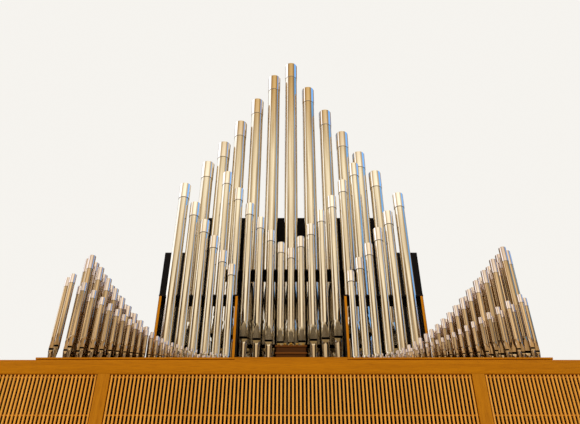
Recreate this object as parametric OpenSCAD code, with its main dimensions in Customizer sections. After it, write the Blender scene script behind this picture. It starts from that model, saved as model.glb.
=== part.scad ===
// Pipe organ with an open pipe field: a slatted oak lower case that carries
// flue pipes in five divisions, seen from the front on the -Y side.
// Millimetres, Z up, origin on the floor at the middle of the plinth.

/* [Lower case] */
// Clear width of the middle bay between its posts
bay_w = 3013; // [2600:1:3400]
// Clear width of each side bay
side_bay_w = 1282; // [1000:1:1500]
// Depth of the case from the front of the rail to the back
case_d = 2050; // [1950:1:2300]
// Height of the line that the flank pipes stand on, above the floor
pipe_line = 3780; // [3300:1:4200]
// Height of the impost rail
rail_h = 123; // [100:1:160]
// Thickness of the rail and the posts
frame_t = 45; // [38:1:55]
// Width of a post
post_w = 104; // [80:1:130]
// Height of the plinth
plinth_h = 150; // [100:1:220]
// Thickness of the side walls and the back wall
wall_t = 25; // [18:1:40]
// Thickness of the deck that carries the chests
deck_t = 40; // [30:1:60]
// Depth of the deck's top below the pipe line
deck_drop = 350; // [300:1:420]

/* [Slatted front] */
// Number of slats in the middle bay
slats_n = 94; // [80:1:104]
// Number of slats in a side bay
side_slats_n = 40; // [32:1:44]
// Width of a slat
slat_w = 14; // [10:1:18]
// Depth of a slat from front to back
slat_d = 16; // [12:1:22]
// Setback of the slats from the front of the rail
slat_inset = 10; // [4:1:12]
// Gap between a slat's end and the rail or plinth
slat_gap = 2; // [1:0.5:6]
// Height of a batten behind the slats
batten_h = 8; // [6:1:16]
// Depth of the first batten's top below the rail
batten_drop = 15; // [10:1:30]
// Distance from one batten to the next
batten_pitch = 320; // [240:1:480]
// Thickness of the black lining behind the battens
lining_t = 10; // [6:1:20]

/* [Flank ranks] */
// Distance of the outermost front pipe on the left from the middle of the organ
flank_x_left = 2063; // [1900:1:2120]
// Distance of the outermost front pipe on the right from the middle
flank_x_right = 2119; // [1900:1:2150]
// Distance of the outermost rear pipe on the left from the middle
flank_rear_x_left = 2098; // [1900:1:2120]
// Distance of the outermost rear pipe on the right from the middle
flank_rear_x_right = 2120; // [1900:1:2150]
// Pipes in one of the two front rows of a flank
flank_n = 27; // [16:1:29]
// Pipes in one of the rows behind them
flank_rear_n = 22; // [14:1:24]
// Distance between the two outermost pipes of a front row
flank_pitch = 122; // [105:1:124]
// Distance that the pipes of a front row close up to
flank_pitch_least = 42; // [38:1:44]
// Distance between the two outermost pipes of a rear row
flank_rear_pitch = 124; // [110:1:126]
// Distance that the pipes of a rear row close up to
flank_rear_pitch_least = 50; // [46:1:52]
// Share of the rest that each next distance keeps
flank_closing = 0.8; // [0.78:0.01:0.82]
// Share of its diameter that each next pipe keeps
flank_shrink = 0.94; // [0.92:0.005:0.95]
// Diameter of the outermost front pipe on the left
flank_d_left = 54; // [40:1:56]
// Diameter of the outermost front pipe on the right
flank_d_right = 47; // [40:1:56]
// Diameter of the outermost rear pipe
flank_rear_d = 68; // [54:1:70]
// Distance from one row to the next, front to back
flank_row = 68; // [66:1:76]
// Setback of the first row from the front of the rail
flank_set = 140; // [110:1:160]
// Thickness of the toe board under the flank pipes
toe_t = 16; // [12:1:24]
// Gap between the toe board and the top of the rail
toe_gap = 9; // [5:1:14]
// Setback of the toe board's front edge from the front of the rail
toe_set = 6; // [0:1:20]

/* [Side towers] */
// Setback of the tower pipes' axes from the front of the rail
tower_set = 440; // [430:1:460]
// Distance of the outermost tower pipe from the middle
tower_x = 1175; // [1150:1:1190]
// Diameter of the largest tower pipe
tower_d = 110; // [90:1:114]
// Length of the largest tower pipe above its datum
tower_len = 2383; // [2000:1:2600]
// Distance between two pipes as a share of their mean diameter
tower_spacing = 1.3; // [1.26:0.01:1.32]
// Clearance between the smallest tower pipe and the inner side panel
panel_gap = 18.8; // [10:0.2:24]
// Height of the middle front board's top above the pipe line
front_board_rise = 187; // [150:1:220]
// Thickness of the middle front board
front_board_t = 20; // [14:1:28]
// Thickness of a side panel
panel_t = 24; // [18:1:30]
// Depth of a side panel
panel_d = 215; // [190:1:225]
// Height of the side panels' top above the pipe line
panel_rise = 825; // [700:1:950]
// Thickness of a rack board
rack_t = 18; // [14:1:24]
// Clearance between a pipe and the notch that holds it
rack_gap = 2; // [1:0.5:4]

/* [Middle row] */
// Setback of the middle row's axes from the front of the rail
middle_set = 720; // [710:1:735]
// Pipes on each side of the shortest, central one
middle_n = 6; // [4:1:6]
// Diameter of the shortest middle pipe
middle_d = 74; // [66:1:76]
// Length of the shortest middle pipe above its mouth
middle_len = 1120; // [1000:1:1250]
// Height of the shortest middle pipe's mouth above the pipe line
middle_mouth = 450; // [400:1:500]
// Rise of the mouth from one semitone to the next
middle_mouth_step = 7.5; // [4:0.5:10]
// Distance between two pipes as a share of their mean diameter
middle_spacing = 1.41; // [1.36:0.01:1.42]
// Height of the middle rack board's top above the pipe line
middle_rack_rise = 1343; // [1200:1:1380]
// Depth of the middle rack board
middle_rack_d = 238; // [200:1:245]

/* [Rear row] */
// Setback of the rear row's axes from the front of the rail
rear_set = 1100; // [1095:1:1120]
// Pipes on each side of the tallest, central one
rear_n = 5; // [3:1:5]
// Diameter of the tallest pipe
rear_d = 160; // [140:1:165]
// Length of the tallest pipe above its datum
rear_len = 4670; // [4000:1:5000]
// Distance from the tallest pipe to its neighbour
rear_pitch = 238; // [225:1:245]
// Drop of that distance from pair to pair
rear_pitch_step = 13; // [8:1:13]

/* [Back boxes] */
// Width of the tall middle box
box_w = 2140; // [2000:1:2300]
// Width of each lower side box
side_box_w = 420; // [300:1:600]
// Height of the middle box above the pipe line
box_rise = 2390; // [2100:1:2700]
// Height of the side boxes above the pipe line
side_box_rise = 1880; // [1600:1:2050]
// Setback of the boxes from the front of the rail
box_set = 1250; // [1230:1:1300]

/* [Bell box] */
// Width of the small box in front of the middle pipes
bell_box_w = 300; // [240:1:360]
// Height of its top above the pipe line
bell_box_rise = 333; // [290:1:350]
// Depth of the box
bell_box_d = 150; // [120:1:180]
// Distance of the bells' middle from the front of the box
bell_set = 26; // [24:1:60]
// Diameter of the largest bell
bell_d = 40; // [30:1:44]

/* [Hidden] */

$fn = 48;
oak = "#c8872d";
oak_dark = "#7a4a1c";
tin = "#d9c9a6";
black = "#151311";
brass = "#d9a531";

case_w = bay_w + 2 * side_bay_w + 4 * post_w;
front = -case_d / 2;
frame_back = front + frame_t;
toe_bottom = pipe_line - toe_t;
rail_top = toe_bottom - toe_gap;
rail_bottom = rail_top - rail_h;
deck_top = pipe_line - deck_drop;
lining_back = frame_back + lining_t;
back_inner = case_d / 2 - wall_t;
side_inner = case_w / 2 - wall_t;
inner_post_x = (bay_w + post_w) / 2;
outer_post_x = (case_w - post_w) / 2;
side_bay_x = (bay_w + side_bay_w) / 2 + post_w;

// Equal temperament: each semitone shortens a pipe by the twelfth root of two,
// and its diameter halves after the given number of semitones.
function shorten(steps) = pow(2, -steps / 12);
function narrow(steps, halving) = pow(2, -steps / halving);
function sum_to(list, n) = n <= 0 ? 0 : list[n - 1] + sum_to(list, n - 1);

// Semitones over which the diameter of a row halves, and the pipes of a tower
tower_n = 6;
tower_halving = 17;
middle_halving = 22;
rear_halving = 60;
function tower_dia(step) = tower_d * narrow(step, tower_halving);
function middle_dia(step) = middle_d / narrow(step, middle_halving);
function rear_dia(step) = rear_d * narrow(step, rear_halving);

// Distances from the middle, worked out from pipe to pipe
tower_gaps = [for (i = [0 : tower_n - 2])
    tower_spacing * (tower_dia(2 * i + 0.5) + tower_dia(2 * i + 2.5)) / 2];
function tower_at(i) = tower_x - sum_to(tower_gaps, i);
middle_gaps = [for (i = [0 : middle_n - 1])
    middle_spacing * (middle_dia(max(0, 2 * i - 0.5)) + middle_dia(2 * i + 1.5)) / 2];
function middle_at(i) = sum_to(middle_gaps, i);
function rear_at(i) = i * rear_pitch - rear_pitch_step * i * (i - 1) / 2;

// Distance of pipe k from the outermost one in a row whose distances close up, and the
// distance from it to the next
function closed_up(k, pitch, least) =
    k * least + (pitch - least) * (1 - pow(flank_closing, k)) / (1 - flank_closing);
function next_pitch(k, pitch, least) = least + (pitch - least) * pow(flank_closing, k);

// Common proportions of a flue pipe, as shares of its diameter
sleeve_share = 1.75;
sleeve_t = 4;
wall_share = 0.03;
wall_least = 1.5;
toe_share = 0.22;

// Pressed lips of a display pipe: depth of the flat, heights and width of the mouth
lip_depth_share = 0.27;
upper_lip_share = 1.65;
lower_lip_share = 0.62;
cut_up_share = 0.28;
mouth_w_share = 0.84;

// Pressed lips of a small chorus pipe
small_lip_depth_share = 0.17;
small_upper_lip_share = 1.25;
small_lower_lip_share = 0.6;
small_cut_up_share = 0.2;
small_mouth_w_share = 0.7;
small_mouth_d_share = 0.3;
small_bore_share = 0.9;
small_sleeve_t = 1.5;
small_body_share = 4.2;

// Flanks: two front rows and three rows behind them
flank_rows = 5;
flank_front_rows = 2;
flank_foot_share = 2.8;
flank_rear_foot_share = 2.2;
flank_rear_sleeve_share = 2.4;
flank_shift = 0.53;
flank_rear_shift = 0.5;
flank_margin = 100;
chest_gap = 3;
chest_lap = 10;
flank_y0 = front + flank_set;
flank_chest_deep = flank_y0 + (flank_rows - 0.5) * flank_row;
flank_chest_shallow = flank_y0 + (flank_rows - 1.5) * flank_row;

// Height of the line that a row's tops run down to, and the outermost length above it
flank_front_datum = pipe_line + 44;
flank_front_len_left = 850;
flank_front_len_right = 630;
flank_rear_datum_left = pipe_line - 96;
flank_rear_len_left = 1445;
flank_rear_datum_right = pipe_line - 24;
flank_rear_len_right = 1312;
flank_rear_first_left = 1;

// Towers
tower_clear = 35;
tower_front = 20;
tower_y = front + tower_set;
tower_chest_top = pipe_line - 150;
tower_datum = tower_chest_top;
tower_mouth = pipe_line + 50;
panel_outer_x = tower_x + tower_d / 2 + tower_clear;
panel_x = tower_at(tower_n - 1) - tower_dia(2 * (tower_n - 1)) / 2 - panel_gap - panel_t;
panel_y0 = tower_y - tower_front;
panel_top = pipe_line + panel_rise;
rack_lap = 6;
tower_chest_y0 = flank_chest_shallow + chest_gap;
tower_chest_in = panel_x - 2 * chest_lap;
tower_chest_out = panel_outer_x + panel_t + chest_lap;
flank_step_x = tower_chest_out + chest_gap;
flank_chest_in = panel_x - 4 * chest_lap;

// Middle row
middle_y = front + middle_set;
main_chest_top = pipe_line - 80;
middle_rack_top = pipe_line + middle_rack_rise;
middle_rack_front = 40;
middle_rack_y0 = middle_y + middle_rack_front;
middle_rack_margin = 25;
middle_rack_w = 2 * (middle_at(middle_n) + middle_dia(2 * middle_n) / 2 + middle_rack_margin);
rack_post = 45;
main_chest_y0 = panel_y0 + panel_d;

// Rear row
rear_y = front + rear_set;
rear_datum = pipe_line + 350;
rear_mouth = pipe_line + 570;
rear_chest_share = 0.75;
rear_chest_y1 = rear_y + rear_chest_share * rear_d;
rear_chest_margin = 130;

// Boxes
box_y0 = front + box_set;
bell_box_y1 = main_chest_y0;
cornice_t = 12;
cornice_lap = 12;
course_drop = 71;
bell_pitch = 58;

// A board or block between two corners
module block(x0, x1, y0, y1, z0, z1) {
    translate([min(x0, x1), y0, z0]) cube([abs(x1 - x0), y1 - y0, z1 - z0]);
}

// Block that presses both lips of a pipe flat: depth deep over the mouth, which starts at
// z = 0, and running out over the lengths below and above it
module lip_press(r, depth, cut_up, below, above) {
    past = 1.1;
    reach = r + (past - 1) * depth;
    rotate([90, 0, -90])
        translate([0, 0, -r])
            linear_extrude(2 * r)
                polygon([[reach, -past * below], [r - depth, 0], [r - depth, cut_up],
                    [reach, cut_up + past * above]]);
}

// Full outline of a pipe's foot and body, revolved
module pipe_skin(r, foot, top, r_toe) {
    rotate_extrude()
        polygon([[0, 0], [r_toe, 0], [r, foot], [r, top], [0, top]]);
}

// An open display pipe with its toe on z = 0: conical foot, pressed lips, mouth,
// hollow body and a tuning sleeve round its top
module display_pipe(d, foot, top) {
    r = d / 2;
    wall = max(wall_least, d * wall_share);
    depth = d * lip_depth_share;
    cut_up = d * cut_up_share;
    sleeve = d * sleeve_share;
    difference() {
        pipe_skin(r, foot, top, d * toe_share / 2);
        translate([0, 0, foot]) lip_press(r, depth, cut_up, d * lower_lip_share, d * upper_lip_share);
        difference() {
            translate([0, 0, foot]) cylinder(r = r - wall, h = top - foot + 1);
            translate([0, wall, foot])
                lip_press(r, depth, cut_up, d * lower_lip_share, d * upper_lip_share);
        }
        translate([-d * mouth_w_share / 2, -r - 1, foot])
            cube([d * mouth_w_share, r, cut_up]);
    }
    translate([0, 0, top - sleeve])
        difference() {
            cylinder(r = r + sleeve_t, h = sleeve);
            translate([0, 0, -1]) cylinder(r = r, h = sleeve + 2);
        }
}

// A small chorus pipe: the same form, hollow only within its sleeve
module chorus_pipe(d, foot, top, sleeve) {
    r = d / 2;
    cut_up = d * small_cut_up_share;
    bore = r * small_bore_share;
    difference() {
        rotate_extrude()
            polygon([[0, 0], [d * toe_share / 2, 0], [r, foot], [r, top - sleeve],
                [r + small_sleeve_t, top - sleeve], [r + small_sleeve_t, top], [bore, top],
                [bore, top - sleeve], [0, top - sleeve]]);
        translate([0, 0, foot])
            lip_press(r, d * small_lip_depth_share, cut_up, d * small_lower_lip_share,
                d * small_upper_lip_share);
        translate([-d * small_mouth_w_share / 2, -r - 1, foot])
            cube([d * small_mouth_w_share, d * small_mouth_d_share + 1, cut_up]);
    }
}

module base_plinth() {
    color(oak) block(-case_w / 2, case_w / 2, front, -front, 0, plinth_h);
}

module side_wall(side) {
    color(oak) block(side * side_inner, side * case_w / 2, frame_back, back_inner, plinth_h, rail_top);
}

module back_wall() {
    color(oak) block(-case_w / 2, case_w / 2, back_inner, -front, plinth_h, rail_top);
}

module deck() {
    color(oak_dark) block(-side_inner, side_inner, lining_back, back_inner, deck_top - deck_t, deck_top);
}

module post(x) {
    color(oak) block(x - post_w / 2, x + post_w / 2, front, frame_back, plinth_h, rail_bottom);
}

module impost_rail() {
    color(oak) block(-case_w / 2, case_w / 2, front, frame_back, rail_bottom, rail_top);
}

// One slat, its top end rounded over
module slat(h) {
    rotate([90, 0, 0])
        linear_extrude(slat_d)
            union() {
                translate([-slat_w / 2, 0]) square([slat_w, h - slat_w / 2]);
                translate([0, h - slat_w / 2]) circle(d = slat_w, $fn = 16);
            }
}

// A bay of slats about x, spaced evenly with half a pitch at each post
module slat_bay(x, w, n) {
    pitch = w / n;
    h = rail_bottom - plinth_h - 2 * slat_gap;
    color(oak)
        for (i = [0 : n - 1])
            translate([x - w / 2 + (i + 0.5) * pitch, front + slat_inset + slat_d, plinth_h + slat_gap])
                slat(h);
}

// Battens across one bay, from just under the rail down to the plinth
module batten_bay(x, w) {
    z0 = rail_bottom - batten_drop - batten_h;
    for (i = [0 : floor((z0 - plinth_h) / batten_pitch)])
        block(x - w / 2, x + w / 2, front + slat_inset + slat_d, frame_back,
            z0 - i * batten_pitch, z0 - i * batten_pitch + batten_h);
}

module grille_battens() {
    color(oak) {
        batten_bay(0, bay_w);
        for (side = [-1, 1]) batten_bay(side * side_bay_x, side_bay_w);
    }
}

module grille_lining() {
    color(black) block(-side_inner, side_inner, frame_back, lining_back, plinth_h, rail_top);
}

// Plan outline of a flank chest: deep outside the tower, shallow in front of it
module flank_plan(side, y0) {
    out = (side < 0 ? flank_x_left : flank_x_right) + flank_margin;
    polygon([[side * flank_chest_in, y0], [side * out, y0],
        [side * out, flank_chest_deep], [side * flank_step_x, flank_chest_deep],
        [side * flank_step_x, flank_chest_shallow], [side * flank_chest_in, flank_chest_shallow]]);
}

module flank_chest(side) {
    color(oak_dark) translate([0, 0, deck_top])
        linear_extrude(toe_bottom - deck_top) flank_plan(side, lining_back);
}

module flank_toe_board(side) {
    color(oak) translate([0, 0, toe_bottom])
        linear_extrude(toe_t) flank_plan(side, front + toe_set);
}

// Pipe k of a flank, counted from the outermost one, with its toe on the board
module flank_pipe(side, x, row, d, foot, top, sleeve) {
    least = foot + small_body_share * d;
    translate([side * x, flank_y0 + row * flank_row, pipe_line])
        chorus_pipe(d, foot, max(top - pipe_line, least), sleeve);
}

// The two front rows: every second pipe of the chromatic order in each, the second row
// set outwards by half a distance
module flank_front_pipes(side, x0, d0, len) {
    color(tin)
        for (row = [0 : flank_front_rows - 1])
            for (k = [0 : flank_n - 1]) {
                d = d0 * pow(flank_shrink, k);
                x = x0 - closed_up(k, flank_pitch, flank_pitch_least)
                    + row * flank_shift * next_pitch(k, flank_pitch, flank_pitch_least);
                flank_pipe(side, x, row, d, flank_foot_share * d,
                    flank_front_datum + len * shorten(2 * k), sleeve_share * d);
            }
}

// One of the rows behind them; the last of all stands only where the chest is deep
module flank_rear_row(side, row, x0, first, datum, len) {
    shift = row % 2 == 1 ? flank_rear_shift : 0;
    for (k = [first : flank_rear_n - 1]) {
        d = flank_rear_d * pow(flank_shrink, k);
        x = x0 - closed_up(k, flank_rear_pitch, flank_rear_pitch_least)
            + shift * next_pitch(k, flank_rear_pitch, flank_rear_pitch_least);
        if (row < flank_rows - 1 || x > flank_step_x + d)
            flank_pipe(side, x, row, d, flank_rear_foot_share * d, datum + len * shorten(2 * k),
                flank_rear_sleeve_share * d);
    }
}

module flank_rear_pipes(side, x0, first, datum, len) {
    color(tin)
        for (row = [flank_front_rows : flank_rows - 2])
            flank_rear_row(side, row, x0, first, datum, len);
}

module flank_back_pipes(side, x0, first, datum, len) {
    color(tin) flank_rear_row(side, flank_rows - 1, x0, first, datum, len);
}

module tower_chest(side) {
    color(oak_dark) block(side * tower_chest_in, side * tower_chest_out, tower_chest_y0,
        main_chest_y0, deck_top, tower_chest_top);
}

module tower_pipes(side) {
    odd = side > 0 ? 1 : 0;
    color(tin)
        for (i = [0 : tower_n - 1]) {
            step = 2 * i + odd;
            translate([side * tower_at(i), tower_y, tower_chest_top])
                display_pipe(tower_dia(step), tower_mouth - tower_chest_top,
                    tower_datum + tower_len * shorten(step) - tower_chest_top);
        }
}

module side_panel(x_inner) {
    color(oak) block(x_inner, x_inner + sign(x_inner) * panel_t, panel_y0, panel_y0 + panel_d,
        tower_chest_top, panel_top);
}

// Board laid on two side panels, notched from the front round each tower pipe
module tower_rack(side) {
    odd = side > 0 ? 1 : 0;
    color(black)
        difference() {
            block(side * (panel_x - rack_lap), side * (panel_outer_x + panel_t + rack_lap), panel_y0,
                panel_y0 + panel_d, panel_top, panel_top + rack_t);
            for (i = [0 : tower_n - 1]) {
                r = tower_dia(2 * i + odd) / 2 + rack_gap;
                translate([side * tower_at(i), tower_y, panel_top - 1]) cylinder(r = r, h = rack_t + 2);
                translate([side * tower_at(i) - r, panel_y0 - 1, panel_top - 1])
                    cube([2 * r, tower_y - panel_y0 + 1, rack_t + 2]);
            }
        }
}

// Board across the open middle, from one inner side panel to the other
module middle_front_board() {
    color(oak) block(-panel_x, panel_x, panel_y0, panel_y0 + front_board_t, tower_chest_top,
        pipe_line + front_board_rise);
}

// One chest under the middle and rear rows, wider under the rear one
module main_chest() {
    y_step = middle_rack_y0 + middle_rack_d;
    w0 = middle_rack_w / 2 + chest_lap;
    w1 = rear_at(rear_n) + rear_chest_margin;
    color(oak_dark) translate([0, 0, deck_top])
        linear_extrude(main_chest_top - deck_top)
            polygon([[-w0, main_chest_y0], [w0, main_chest_y0], [w0, y_step], [w1, y_step],
                [w1, rear_chest_y1], [-w1, rear_chest_y1], [-w1, y_step], [-w0, y_step]]);
}

module middle_pipe(side, i) {
    step = i == 0 ? 0 : 2 * i - (side < 0 ? 1 : 0);
    mouth = pipe_line + middle_mouth + step * middle_mouth_step;
    translate([side * middle_at(i), middle_y, main_chest_top])
        display_pipe(middle_dia(step), mouth - main_chest_top,
            mouth + middle_len / shorten(step) - main_chest_top);
}

module middle_pipes() {
    color(tin) {
        middle_pipe(1, 0);
        for (side = [-1, 1])
            for (i = [1 : middle_n])
                middle_pipe(side, i);
    }
}

// Board behind the middle row, notched round the back of each pipe
module middle_rack() {
    color(black)
        difference() {
            block(-middle_rack_w / 2, middle_rack_w / 2, middle_rack_y0, middle_rack_y0 + middle_rack_d,
                middle_rack_top - rack_t, middle_rack_top);
            for (side = [-1, 1])
                for (i = [0 : middle_n])
                    translate([side * middle_at(i), middle_y, middle_rack_top - rack_t - 1])
                        cylinder(r = middle_dia(2 * i) / 2 + rack_gap, h = rack_t + 2);
        }
}

module middle_rack_post(side) {
    x = side * (middle_rack_w - rack_post) / 2;
    y = middle_rack_y0 + middle_rack_d / 2;
    color(black) block(x - rack_post / 2, x + rack_post / 2, y - rack_post / 2, y + rack_post / 2,
        main_chest_top, middle_rack_top - rack_t);
}

module rear_pipe(side, i) {
    step = i == 0 ? 0 : 2 * i - (side < 0 ? 1 : 0);
    translate([side * rear_at(i), rear_y, main_chest_top])
        display_pipe(rear_dia(step), rear_mouth - main_chest_top,
            rear_datum + rear_len * shorten(step) - main_chest_top);
}

module rear_pipes() {
    color(tin) {
        rear_pipe(1, 0);
        for (side = [-1, 1])
            for (i = [1 : rear_n])
                rear_pipe(side, i);
    }
}

module swell_box_centre() {
    color(black) block(-box_w / 2, box_w / 2, box_y0, back_inner, deck_top, pipe_line + box_rise);
}

module swell_box_side(side) {
    color(black) block(side * box_w / 2, side * (box_w / 2 + side_box_w), box_y0, back_inner,
        deck_top, pipe_line + side_box_rise);
}

// Small wooden box with a cornice and a string course, on the deck before the middle pipes
module bell_box() {
    top = pipe_line + bell_box_rise;
    y0 = bell_box_y1 - bell_box_d;
    w = bell_box_w / 2;
    color(oak_dark) {
        block(-w + cornice_lap, w - cornice_lap, y0 + cornice_lap, bell_box_y1, deck_top,
            top - cornice_t);
        block(-w, w, y0, bell_box_y1, top - cornice_t, top);
        block(-w, w, y0, bell_box_y1, top - course_drop - cornice_t, top - course_drop);
    }
}

module bell(d) {
    rotate_extrude()
        polygon([[0, 0], [d * 0.08, 0], [d * 0.08, d * 0.35], [d * 0.5, d * 0.35], [d * 0.42, d * 0.55],
            [d * 0.3, d * 0.85], [d * 0.12, d], [0, d]]);
}

module bells() {
    color(brass)
        for (i = [-2 : 2])
            translate([i * bell_pitch, bell_box_y1 - bell_box_d + bell_set, pipe_line + bell_box_rise])
                bell(bell_d * (1 - 0.07 * abs(i)));
}

base_plinth();
side_wall(-1);  // side_wall_left
side_wall(1);  // side_wall_right
back_wall();
deck();
post(-outer_post_x);  // post_outer_left
post(-inner_post_x);  // post_inner_left
post(inner_post_x);  // post_inner_right
post(outer_post_x);  // post_outer_right
impost_rail();
slat_bay(-side_bay_x, side_bay_w, side_slats_n);  // slats_left
slat_bay(0, bay_w, slats_n);  // slats_centre
slat_bay(side_bay_x, side_bay_w, side_slats_n);  // slats_right
grille_battens();
grille_lining();
flank_chest(-1);  // flank_chest_left
flank_chest(1);  // flank_chest_right
flank_toe_board(-1);  // flank_toe_board_left
flank_toe_board(1);  // flank_toe_board_right
flank_front_pipes(-1, flank_x_left, flank_d_left, flank_front_len_left);  // flank_front_pipes_left
flank_front_pipes(1, flank_x_right, flank_d_right, flank_front_len_right);  // flank_front_pipes_right
flank_rear_pipes(-1, flank_rear_x_left, flank_rear_first_left, flank_rear_datum_left,  // flank_rear_pipes_left
        flank_rear_len_left);
flank_rear_pipes(1, flank_rear_x_right, 0, flank_rear_datum_right, flank_rear_len_right);  // flank_rear_pipes_right
flank_back_pipes(-1, flank_rear_x_left, flank_rear_first_left, flank_rear_datum_left,  // flank_back_pipes_left
        flank_rear_len_left);
flank_back_pipes(1, flank_rear_x_right, 0, flank_rear_datum_right, flank_rear_len_right);  // flank_back_pipes_right
tower_chest(-1);  // tower_chest_left
tower_chest(1);  // tower_chest_right
tower_pipes(-1);  // tower_pipes_left
tower_pipes(1);  // tower_pipes_right
side_panel(-panel_outer_x);  // panel_outer_left
side_panel(-panel_x);  // panel_inner_left
side_panel(panel_x);  // panel_inner_right
side_panel(panel_outer_x);  // panel_outer_right
tower_rack(-1);  // tower_rack_left
tower_rack(1);  // tower_rack_right
middle_front_board();
main_chest();
middle_pipes();
middle_rack();
middle_rack_post(-1);  // rack_post_left
middle_rack_post(1);  // rack_post_right
rear_pipes();
swell_box_centre();
swell_box_side(-1);  // swell_box_left
swell_box_side(1);  // swell_box_right
bell_box();
bells();
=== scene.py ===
"""Looks of a pipe organ with an open pipe field over a slatted oak case.

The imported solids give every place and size. Each sub-assembly below reads its solids from the
frame, models its finished pieces in their place and dresses them with node materials.
"""

import logging
import math
from collections.abc import Iterable, Sequence
from dataclasses import dataclass
from enum import Enum, IntEnum

import bmesh
import bpy
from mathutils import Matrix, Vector


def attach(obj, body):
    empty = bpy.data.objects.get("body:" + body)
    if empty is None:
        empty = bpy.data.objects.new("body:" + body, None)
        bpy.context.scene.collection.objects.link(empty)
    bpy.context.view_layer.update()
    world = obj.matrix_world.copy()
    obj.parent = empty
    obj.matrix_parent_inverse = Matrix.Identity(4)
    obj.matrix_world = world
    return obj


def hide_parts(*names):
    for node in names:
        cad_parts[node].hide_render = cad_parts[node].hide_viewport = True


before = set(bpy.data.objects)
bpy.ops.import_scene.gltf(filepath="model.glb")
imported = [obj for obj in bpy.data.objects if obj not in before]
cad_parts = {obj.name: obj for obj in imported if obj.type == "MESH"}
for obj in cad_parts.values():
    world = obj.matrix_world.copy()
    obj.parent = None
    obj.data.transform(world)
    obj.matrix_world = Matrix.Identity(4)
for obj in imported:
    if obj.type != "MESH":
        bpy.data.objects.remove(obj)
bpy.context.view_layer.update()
BODY = "root"
log = logging.getLogger("pipe_organ")

Colour = tuple[float, float, float]
Stops = Sequence[tuple[float, Colour]]

# Slacks in metres: for merging a solid's corners, for reading its places and for comparing heights.
MERGE = 1e-5
NEAR = 1e-4
TOUCH = 1e-6

BLACK = (0.0, 0.0, 0.0)
WHITE = (1.0, 1.0, 1.0)


class Grain(Enum):
    """Direction in which the grain of a board runs."""

    ALONG_X = (0.9, 26.0, 26.0)
    ALONG_Z = (26.0, 26.0, 0.9)


class Faces(Enum):
    """Faces of a board that its second finish covers."""

    SIDES = "left and right"
    FRONT = "foremost"


class Metal(IntEnum):
    """Places of a pipe's materials on its faces; the last two are painted shade and painted shadow."""

    BODY = 0
    SLEEVE = 1
    # Near-black painted shade in the mouth's recess, the bore and the bore's floor.
    INSIDE_PAINTED_SHADE = 2
    # A dark band of painted shadow just under the sleeve.
    SLEEVE_PAINTED_SHADOW = 3


class Signal:
    """A shader socket that builds Math nodes from ordinary expressions."""

    def __init__(self, graph: "Graph", socket: bpy.types.NodeSocket) -> None:
        """Wraps one output socket of a graph.

        Args:
            graph: Node graph that the socket belongs to.
            socket: Output socket to wrap.
        """
        self.graph = graph
        self.socket = socket

    def _math(self, operation: str, first: "Signal | float", second: "Signal | float") -> "Signal":
        """Adds one Math node.

        Args:
            operation: Name of the Math operation.
            first: First value or signal.
            second: Second value or signal.

        Returns:
            The result as a signal.
        """
        return self.graph.add("ShaderNodeMath", {"operation": operation}, {0: first, 1: second})

    def __add__(self, other: "Signal | float") -> "Signal":
        """Sum with a value or signal."""
        return self._math("ADD", self, other)

    __radd__ = __add__

    def __mul__(self, other: "Signal | float") -> "Signal":
        """Product with a value or signal."""
        return self._math("MULTIPLY", self, other)

    __rmul__ = __mul__

    def __sub__(self, other: "Signal | float") -> "Signal":
        """Difference to a value or signal."""
        return self._math("SUBTRACT", self, other)

    def __rsub__(self, other: "Signal | float") -> "Signal":
        """Difference of a value to this signal."""
        return self._math("SUBTRACT", other, self)

    def __truediv__(self, other: "Signal | float") -> "Signal":
        """Quotient by a value or signal."""
        return self._math("DIVIDE", self, other)

    def atan2(self, other: "Signal | float") -> "Signal":
        """Angle in radians of the point at (other, this signal)."""
        return self._math("ARCTAN2", self, other)

    def floor(self) -> "Signal":
        """Largest whole number not above this signal."""
        return self._math("FLOOR", self, 0.0)

    def fraction(self) -> "Signal":
        """Part of this signal above its largest whole number."""
        return self._math("FRACT", self, 0.0)

    def __lt__(self, other: "Signal | float") -> "Signal":
        """1 where this signal is below a value or signal, else 0."""
        return self._math("LESS_THAN", self, other)


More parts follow.
